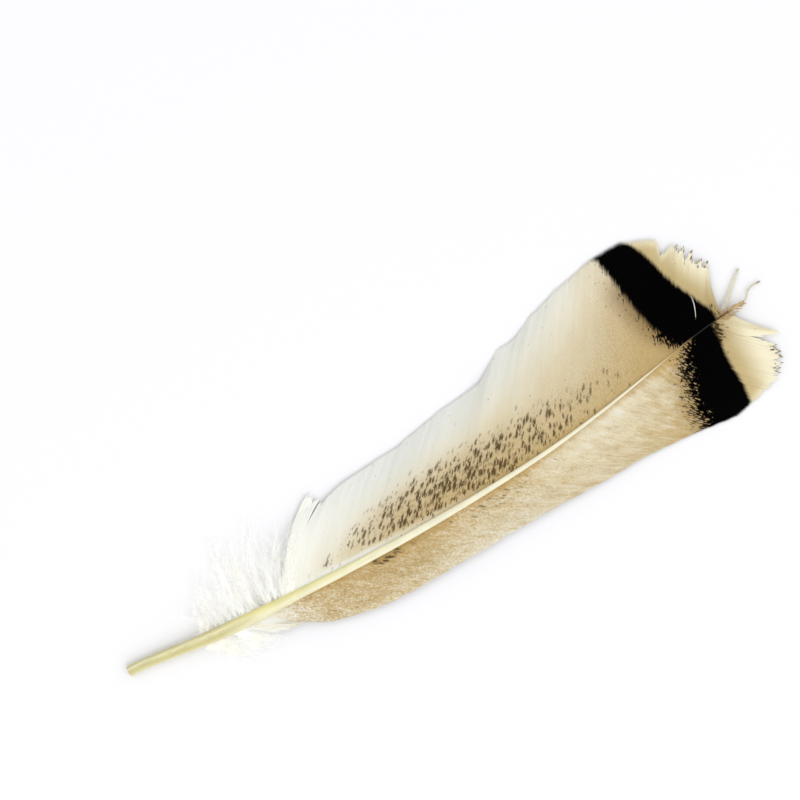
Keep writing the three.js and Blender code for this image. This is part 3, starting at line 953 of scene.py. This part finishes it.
class Graph:
    """Adds nodes to one tree. A value that is a socket gets linked, any other is set."""

    def __init__(self, tree):
        self.tree = tree

    def fill(self, socket, value):
        if isinstance(value, bpy.types.NodeSocket):
            self.tree.links.new(value, socket)
        elif socket.type == "RGBA" and len(value) == 3:
            socket.default_value = (*value, 1)
        else:
            socket.default_value = value

    def add(self, kind, inputs=None, **settings):
        node = self.tree.nodes.new("ShaderNode" + kind)
        node.location = (180 * (len(self.tree.nodes) % 12), -220 * (len(self.tree.nodes) // 12))
        for name, value in settings.items():
            setattr(node, name, value)
        for name, value in (inputs or {}).items():
            self.fill(node.inputs[name], value)
        return node

    def math(self, operation, *values):
        return self.add("Math", dict(enumerate(values)), operation=operation).outputs[0]

    def times(self, a, b):
        return self.math("MULTIPLY", a, b)

    def plus(self, a, b):
        return self.math("ADD", a, b)

    def minus(self, a, b):
        return self.math("SUBTRACT", a, b)

    def scaled(self, value, factor, offset):
        return self.math("MULTIPLY_ADD", value, factor, offset)

    def ease(self, value, low, high, to_low=0.0, to_high=1.0):
        inputs = {"Value": value, "From Min": low, "From Max": high, "To Min": to_low, "To Max": to_high}
        return self.add("MapRange", inputs, interpolation_type="SMOOTHSTEP").outputs[0]

    def mix(self, factor, a, b, blend="MIX"):
        return self.add("Mix", {0: factor, 6: a, 7: b}, data_type="RGBA", blend_type=blend).outputs[2]

    def coats(self, colour_in, *coats):
        """A colour under coats of (share, colour)."""
        for share, coat in coats:
            colour_in = self.mix(share, colour_in, coat)
        return colour_in

    def shade(self, colour_in, factor):
        """A colour times a number."""
        grey = self.add("CombineColor", {0: factor, 1: factor, 2: factor}).outputs[0]
        return self.mix(1.0, colour_in, grey, "MULTIPLY")

    def attribute(self, name):
        return self.add("Attribute", attribute_name=name).outputs["Fac"]

    def group(self, tree, **inputs):
        inputs = {name.capitalize(): value for name, value in inputs.items()}
        node = self.add("Group")
        node.node_tree = tree
        for name, value in inputs.items():
            self.fill(node.inputs[name], value)
        return node.outputs

    def noise(self, vector, scale, detail=2.0, roughness=0.5, dimensions="2D"):
        inputs = {"Vector": vector, "Scale": scale, "Detail": detail, "Roughness": roughness}
        return self.add("TexNoise", inputs, noise_dimensions=dimensions).outputs[0]

    def object_place(self):
        return self.add("TexCoord").outputs["Object"]

    def barb_place(self, across, along, shift=0.0, slant=0.0):
        """Place on the web, in cells of so many millimetres across and along the barbs."""
        parts = self.add("SeparateXYZ", {0: self.add("UVMap", uv_map="Barbs").outputs[0]}).outputs
        u = self.math("DIVIDE", self.minus(parts[0], self.times(parts[1], slant)), across)
        v = self.math("DIVIDE", self.plus(parts[1], shift), along)
        return self.add("CombineXYZ", {0: u, 1: v}).outputs[0]

    def barb_noise(self, across, along, *noise):
        """Noise about 0 in cells of that size."""
        return self.minus(self.noise(self.barb_place(across, along), 1.0, *noise), 0.5)

    def barb_shift(self):
        """A small shift of its own for each barb."""
        return self.times(self.minus(self.attribute("strand"), 0.5), 0.35)


def make_group(name, formula, outputs=("Mask",), **defaults):
    """A node group with number inputs, whose outputs are what formula(graph, inputs) gives."""
    tree = bpy.data.node_groups.new(name, "ShaderNodeTree")
    for socket, default in defaults.items():
        made = tree.interface.new_socket(
            name=socket.capitalize(), in_out="INPUT", socket_type="NodeSocketFloat")
        made.default_value = default
    for socket in outputs:
        tree.interface.new_socket(name=socket, in_out="OUTPUT", socket_type="NodeSocketFloat")
    start, end = tree.nodes.new("NodeGroupInput"), tree.nodes.new("NodeGroupOutput")
    graph = Graph(tree)
    for socket, value in zip(end.inputs, formula(graph, start.outputs)):
        graph.fill(socket, value)
    return tree


def streaks(g, given):
    """Shade and height of fine light and dark streaks that run along the barbs."""
    fine, broad = (g.noise(g.barb_place(*size), 1.0) for size in ((0.9, 14), (5, 60)))
    mixed = g.plus(g.times(g.attribute("strand"), 0.5), g.plus(fine, broad))
    return g.scaled(g.minus(mixed, 1.25), given["Amount"], 1.0), mixed


def flecks(g, given):
    """Separate blotches drawn out along the barbs, more and bigger where Density is higher."""
    place = g.barb_place(given["Across"], given["Along"], g.barb_shift(), given["Slant"])
    bent = place
    for fineness, reach in ((1.1, 0.55), (3.5, 0.35)):
        stir = g.add("TexNoise", {"Vector": place, "Scale": fineness}, noise_dimensions="2D").outputs[1]
        stir = g.add("VectorMath", {0: stir, "Scale": reach}, operation="SCALE").outputs[0]
        bent = g.add("VectorMath", {0: bent, 1: stir}, operation="ADD").outputs[0]
    cells = {"Vector": bent, "Scale": 1.0, "Randomness": 0.88}
    cell = g.add("TexVoronoi", cells, voronoi_dimensions="2D").outputs
    chance = g.add("SeparateColor", {0: cell["Color"]}).outputs
    there = g.ease(g.minus(given["Density"], g.times(chance[0], 0.95)), 0.0, 0.18)
    size = g.scaled(given["Density"], 0.1, g.scaled(chance[1], 0.26, 0.12))
    return [g.times(g.ease(g.minus(size, cell["Distance"]), -0.14, 0.16), there)]


def mottling(g, given):
    """Worm-like lines a few tenths of a millimetre wide: 0 between them and 1 in their middle."""
    fine = g.math("DIVIDE", 1.0, given["Size"])
    net = g.noise(g.barb_place(1.0, 1.2), fine, 1.0)
    lines = g.ease(g.math("ABSOLUTE", g.minus(net, 0.5)), 0.12, 0.0)
    grain = g.ease(g.noise(g.barb_place(1.0, 1.6), g.times(fine, 1.7), 2.0, 0.6), 0.36, 0.64)
    return [g.scaled(lines, 0.55, g.times(grain, 0.45))]


def speckles(g, given):
    """Specks that grow together as Level goes from 0, where there are none, to 1, where all is dark."""
    grain = g.noise(g.barb_place(given["Across"], given["Along"]), 1.0, 2.0, 0.6)
    return [g.ease(g.minus(grain, g.scaled(given["Level"], -0.62, 0.8)), -0.08, 0.1)]


def ragged_edge(g, given):
    """A mask that starts where Distance passes 0, with spikes that follow the barbs."""
    ragged = g.times(g.scaled(g.barb_noise(1.1, 9, 2.5), 2.2, g.barb_shift()), given["Spikes"])
    moved = g.plus(given["Distance"], ragged)
    return [g.ease(moved, g.times(given["Soft"], -1.0), given["Soft"])]


def make_groups():
    """Every effect that more than one material uses, by name."""
    return {
        "streaks": make_group("Barb streaks", streaks, ("Shade", "Height"), amount=0.1),
        "flecks": make_group("Flecks", flecks, density=0.5, across=1.6, along=3.0, slant=0.0),
        "mottling": make_group("Mottling", mottling, size=1.5),
        "speckles": make_group("Speckles", speckles, level=0.5, across=1.0, along=2.0),
        "edge": make_group("Ragged edge", ragged_edge, distance=0.0, spikes=1.0, soft=0.4),
    }


def new_material(name, specular):
    """A material with a Principled BSDF: its graph and the shader's sockets."""
    material = bpy.data.materials.new(name)
    material.use_nodes = True
    shader = material.node_tree.nodes["Principled BSDF"].inputs
    shader["Specular IOR Level"].default_value = specular
    return material, Graph(material.node_tree), shader


def add_relief(g, shader, height, strength):
    """Fine relief, with a height of 1 standing for a tenth of a millimetre."""
    bump = g.add("Bump", {"Height": height, "Strength": strength, "Distance": 0.0001})
    g.fill(shader["Normal"], bump.outputs[0])


def web_ground(g, vane, settings, groups):
    """Ground, mottling and flecks of a vane before its dark band."""
    look, wide = vane["look"], vane["side"] > 0
    tan = g.attribute("tan")

    # White to cream to tan to brown, moved up and down that run by clouds and by the mottling
    net = g.minus(g.group(groups["mottling"], size=look["mottling_size"])["Mask"], 0.4)
    strength = g.times(g.attribute("mottling"), 1.5)
    warm = g.scaled(g.barb_noise(*look["cloud_size"]), look["clouds"], tan)
    if wide:
        strength = g.times(strength, g.ease(tan, 0.2, 0.9))
    else:
        warm = g.scaled(g.barb_noise(1.2, 6, 3.0, 0.55), g.ease(tan, 0.2, 0.7, 0.2, 0.6), warm)
    warm = g.scaled(net, strength, warm)
    ground = g.coats(
        settings.pale,
        (g.attribute("whiteness"), settings.white),
        (g.ease(warm, 0.0, look["cream_by"]), settings.cream),
        (g.ease(warm, 0.24, 1.12), settings.tan),
        (g.ease(warm, 1.0, 1.9, 0.0, 0.85), settings.brown),
    )
    if not wide:
        golden = g.times(g.ease(g.attribute("from_shaft"), 9.0, 1.0, 0.0, 0.28), g.ease(tan, 0.4, 0.9))
        ground = g.mix(golden, ground, settings.gold)

    crowd = g.ease(g.noise(g.barb_place(5, 7), 1.0), 0.3, 0.7, 0.76, 1.12)
    density = g.times(g.attribute("flecks"), crowd)
    flecks = {"tree": groups["flecks"], "slant": look["slant"]}
    big = g.group(density=density, across=1.8, along=4.3, **flecks)["Mask"]
    small = g.group(density=g.times(density, 0.7), across=1.1, along=2.3, **flecks)["Mask"]
    spots = g.math("MAXIMUM", big, g.times(small, 0.65))
    return g.coats(
        ground,
        (g.ease(density, 0.1, 1.1, 0.0, 0.35), settings.tan),
        (g.times(spots, g.ease(density, 0.0, 0.9, 0.62, 0.97)), settings.fleck),
    )


def specked(g, vane, settings, ground, groups):
    """The ground with the specks that gather before the band, drawn out along the barbs."""
    look = vane["look"]
    into, beside = g.attribute("into_band"), g.attribute("from_shaft")
    halo = g.ease(into, *look["halo"], 0.0, look["halo_share"])
    level = g.ease(into, *look["specks"])
    if vane["side"] > 0:
        halo = g.times(halo, g.ease(beside, 44.0, 31.0, 0.12, 1.0))
        level = g.times(level, g.ease(beside, 16.0, 5.0, 0.3, 1.0))
    specks = g.group(groups["speckles"], level=level, across=0.42, along=2.6)["Mask"]
    return g.coats(
        ground,
        (halo, g.mix(0.35, settings.brown, settings.fleck)),
        (specks, g.mix(g.ease(into, -12.0, -3.0), settings.fleck, settings.band)),
    )


def web_end(g, vane, settings, groups):
    """Past the band: warm beside it and pale at the tips, with ticks and dark points to the teeth."""
    look = vane["look"]
    past, beside = g.attribute("past_band"), g.attribute("from_shaft")
    tip, toothed = g.attribute("from_tip"), g.attribute("toothed")
    line = g.times(g.ease(past, 7.0, 0.5, 0.0, 0.66), g.ease(beside, 11.0, 6.0, 0.1, look["ticks"]))
    behind = g.times(g.ease(tip, 6.5, 1.5, 0.0, look["ticks_behind_teeth"]), toothed)
    level = g.math("MAXIMUM", line, behind)
    ticks = g.group(groups["speckles"], level=level, across=0.6, along=3.4)["Mask"]
    return g.coats(
        settings.end,
        (g.ease(past, 1.5, 14.0), settings.fringe),
        (g.ease(tip, 5.0, 0.0, 0.0, 0.75), settings.fringe),
        (g.times(line, 0.6), settings.brown),
        (g.times(ticks, 0.9), g.mix(0.8, settings.fleck, settings.band)),
        (g.times(g.times(g.ease(tip, 1.9, 0.6), toothed), 0.85), settings.fleck),
    )


def vane_material(name, vane, groups, settings):
    """Ground, flecks, mottling, dark band and pale end of one vane."""
    material, g, shader = new_material(name, 0.01)
    look = vane["look"]
    ground = specked(g, vane, settings, web_ground(g, vane, settings, groups), groups)
    moved = g.minus(g.attribute("into_band"), look["solid"])
    starts = g.group(groups["edge"], distance=moved, spikes=1.1, soft=look["solid_soft"])["Mask"]
    stops = g.group(groups["edge"], distance=g.attribute("past_band"), spikes=0.6, soft=1.1)["Mask"]
    colours = g.coats(ground, (starts, settings.band), (stops, web_end(g, vane, settings, groups)))
    streak = g.group(groups["streaks"], amount=look["streaks"])
    g.fill(shader["Base Color"], g.shade(colours, streak["Shade"]))
    g.fill(shader["Roughness"], g.ease(streak["Height"], 0.6, 1.9, 0.62, 0.82))
    add_relief(g, shader, streak["Height"], 0.35)
    return material


def fill_ramp(g, value, *stops):
    """A run of colours at places from 0 to 1."""
    ramp = g.add("ValToRGB", {0: value})
    elements = ramp.color_ramp.elements
    while len(elements) < len(stops):
        elements.new(0.5)
    for element, (place, shade) in zip(elements, stops):
        element.position = place
        element.color = (*shade, 1)
    return ramp.outputs[0]


def quill_material(quill, vane):
    """Olive horn with a clearer edge and a painted highlight streak, then yellow beside cream, black in
    the band, brown at the tip.
    """
    material, g, shader = new_material("quill_horn", 0.4)
    along, across = g.attribute("along"), g.attribute("across")
    cloud = g.noise(g.object_place(), 170.0, dimensions="3D")
    grain = g.add("Mapping", {"Vector": g.object_place(), "Scale": (25, 1400, 1400)}).outputs[0]
    streak = g.noise(grain, 1.0, 3.0, 0.6, "3D")

    # Across the bare quill: 0 on the narrow vane's side, 1 on the wide vane's. The stop at 0.72 in the
    # clearer colour is a painted highlight streak; the one at 0.02 is clearer horn along the narrow
    # side's edge
    bent = g.scaled(g.minus(cloud, 0.5), 0.35, g.plus(across, 0.5))
    bare = fill_ramp(
        g, bent, (0.02, quill.clear), (0.16, quill.bare), (0.38, quill.olive), (0.56, quill.bare),
        (0.72, quill.clear), (0.86, quill.bare), (0.98, quill.olive),
    )
    side = g.scaled(g.ease(across, -0.15, 0.4), 0.75, 0.25)
    shaft = g.mix(g.times(side, g.ease(along, 142.0, 62.0)), quill.shaft, quill.yolk)
    dark = fill_ramp(
        g, g.math("DIVIDE", along, 300.0), (0.7, quill.shaft), (0.8, vane.cream), (0.85, vane.tan),
        (0.895, vane.band), (0.93, vane.band), (0.943, quill.tip), (0.953, quill.tip),
        (0.965, quill.gold),
    )
    colours = g.coats(bare, (g.ease(along, 36.0, 62.0), shaft), (g.ease(along, 205.0, 235.0), dark))
    shade = g.plus(g.ease(streak, 0.3, 0.7, 0.95, 1.04), g.ease(cloud, 0.3, 0.7, -0.04, 0.03))
    g.fill(shader["Base Color"], g.shade(colours, shade))
    rough = g.plus(g.ease(streak, 0.3, 0.7, 0.26, 0.38), g.ease(along, 225.0, 260.0, 0.0, 0.5))
    g.fill(shader["Roughness"], rough)
    add_relief(g, shader, streak, 0.2)
    return material


def down_material(settings):
    """White down, a little warmer in places, that gives off a little painted light of its own to lift
    the shade between its fibres.
    """
    material, g, shader = new_material("white_down", 0.2)
    cloud = g.noise(g.object_place(), 160.0, dimensions="3D")
    warm = tuple(a * b for a, b in zip(settings.white, (0.96, 0.94, 0.86)))
    g.fill(shader["Base Color"], g.mix(g.ease(cloud, 0.35, 0.75), settings.white, warm))
    g.fill(shader["Roughness"], g.ease(cloud, 0.3, 0.7, 0.85, 0.95))
    # Painted light: the down gives off a little light of its own, which lifts the shade between its
    # fibres
    g.fill(shader["Emission Color"], settings.white)
    g.fill(shader["Emission Strength"], settings.painted_glow)
    return material


def loose_barb_material(vane, quill):
    """Cream barbs that are brown at the shaft's tip; the strip over the band is pale, a painted
    highlight.
    """
    material, g, shader = new_material("loose_barbs", 0.1)
    brown = g.attribute("brown")
    cloud = g.noise(g.object_place(), 900.0, dimensions="3D")
    uneven = g.scaled(g.minus(cloud, 0.5), 0.3, brown)
    colours = g.coats(
        vane.fringe, (g.ease(brown, -0.3, -0.8), vane.pale), (g.ease(uneven, 0.1, 0.5), quill.gold),
        (g.ease(uneven, 0.68, 1.05), quill.tip),
    )
    g.fill(shader["Base Color"], g.shade(colours, g.ease(cloud, 0.3, 0.7, 0.94, 1.04)))
    g.fill(shader["Roughness"], g.ease(cloud, 0.3, 0.7, 0.7, 0.85))
    return material


def floor_material(settings):
    """A plain matt table top."""
    material, g, shader = new_material("table_top", 0.1)
    g.fill(shader["Base Color"], settings.floor_colour)
    g.fill(shader["Roughness"], 0.9)
    return material


# ---- Operators ----


class FEATHER_OT_add_quill(bpy.types.Operator):
    """Model the shaft, from the bare quill's cut end to its tip"""

    bl_idname = "feather.add_quill"
    bl_label = "Add Quill"

    def execute(self, context):
        scene = context.scene
        horn = quill_material(scene.feather_quill, scene.feather_vane)
        dress(build_quill(scene.feather_quill), horn, "quill_keratin", "shaft")
        return {"FINISHED"}


class FEATHER_OT_add_vanes(bpy.types.Operator):
    """Lay the barbs of the wide and the narrow vane, and the loose ones at the tip"""

    bl_idname = "feather.add_vanes"
    bl_label = "Add Vanes"

    def execute(self, context):
        scene = context.scene
        settings = scene.feather_vane
        groups = make_groups()
        for vane, name, web, node in (
            (WIDE_VANE, "wide_vane_barbs", "wide_vane_web", "wide_vane"),
            (NARROW_VANE, "narrow_vane_barbs", "narrow_vane_web", "narrow_vane"),
        ):
            piece = build_vane(vane, name, settings)
            dress(piece, vane_material(web, vane, groups, settings), name, node)
        loose = build_loose_barbs("loose_tip_barbs")
        loose.data.materials.append(loose_barb_material(settings, scene.feather_quill))
        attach(loose, "root")
        return {"FINISHED"}


class FEATHER_OT_add_down(bpy.types.Operator):
    """Lay the loose white down on both sides of the quill"""

    bl_idname = "feather.add_down"
    bl_label = "Add Down"

    def execute(self, context):
        settings = context.scene.feather_down
        white = down_material(settings)
        for down, name, barbs, node in (
            (WIDE_DOWN, "wide_side_fluff", settings.wide_barbs, "wide_side_down"),
            (NARROW_DOWN, "narrow_side_fluff", settings.narrow_barbs, "narrow_side_down"),
        ):
            dress(build_down(down, name, barbs, settings), white, "down", node)
        return {"FINISHED"}


def add_light(name, place, size, power, target):
    """A soft square light that faces a target."""
    start_clean()
    bpy.ops.object.light_add(type="AREA", location=place)
    light = bpy.context.object
    light.name = name
    light.data.shape = "SQUARE"
    light.data.size = size
    light.data.energy = power
    light.rotation_euler = (target - place).to_track_quat("-Z", "Y").to_euler()


class FEATHER_OT_add_stage(bpy.types.Operator):
    """Set the pale table top, the soft light and the camera"""

    bl_idname = "feather.add_stage"
    bl_label = "Add Stage"

    def execute(self, context):
        scene = context.scene
        settings = scene.feather_stage
        start_clean()
        bpy.ops.mesh.primitive_plane_add(size=settings.floor, location=(0, 0, 0))
        floor = context.object
        floor.name = "table_top"
        floor.data.materials.append(floor_material(settings))

        middle = Vector((settings.view_x, settings.view_y, 0))
        right = Vector((math.cos(settings.turn), math.sin(settings.turn), 0))
        up = Vector((-right.y, right.x, 0))
        for name, ((x, y, z), size, power) in LIGHTS.items():
            add_light(name, middle + right * x + up * y + Vector((0, 0, z)), size, power, middle)

        world = bpy.data.worlds.new("soft_room")
        scene.world = world
        world.use_nodes = True
        background = world.node_tree.nodes["Background"]
        background.inputs["Color"].default_value = (1, 1, 1, 1)
        background.inputs["Strength"].default_value = ROOM_LIGHT

        camera_data = bpy.data.cameras.new("camera")
        camera_data.lens = settings.lens
        camera = bpy.data.objects.new("camera", camera_data)
        scene.collection.objects.link(camera)
        distance = settings.view_width * settings.lens / camera_data.sensor_width
        camera.location = middle + Vector((0, 0, distance))
        camera.rotation_euler = (0, 0, settings.turn)
        scene.camera = camera
        scene.view_settings.view_transform = "Standard"
        return {"FINISHED"}


class FEATHER_PT_sidebar(bpy.types.Panel):
    """Lists the feather's operators and settings"""

    bl_idname = "FEATHER_PT_sidebar"
    bl_label = "Feather"
    bl_space_type = "VIEW_3D"
    bl_region_type = "UI"
    bl_category = "Feather"

    def draw(self, context):
        for operator, group, kind in STEPS:
            box = self.layout.box()
            box.operator(operator.bl_idname)
            for name in kind.__annotations__:
                box.prop(getattr(context.scene, group), name)


# Each operator, and the settings that the scene keeps for it
STEPS = [
    (FEATHER_OT_add_quill, "feather_quill", FeatherQuillSettings),
    (FEATHER_OT_add_vanes, "feather_vane", FeatherVaneSettings),
    (FEATHER_OT_add_down, "feather_down", FeatherDownSettings),
    (FEATHER_OT_add_stage, "feather_stage", FeatherStageSettings),
]


def register():
    for operator, group, kind in STEPS:
        bpy.utils.register_class(kind)
        bpy.utils.register_class(operator)
        setattr(bpy.types.Scene, group, PointerProperty(type=kind))
    bpy.utils.register_class(FEATHER_PT_sidebar)


def unregister():
    bpy.utils.unregister_class(FEATHER_PT_sidebar)
    for operator, group, kind in reversed(STEPS):
        delattr(bpy.types.Scene, group)
        bpy.utils.unregister_class(operator)
        bpy.utils.unregister_class(kind)


def main():
    register()
    bpy.ops.feather.add_quill()
    bpy.ops.feather.add_vanes()
    bpy.ops.feather.add_down()
    bpy.ops.feather.add_stage()


if __name__ == "__main__":
    main()
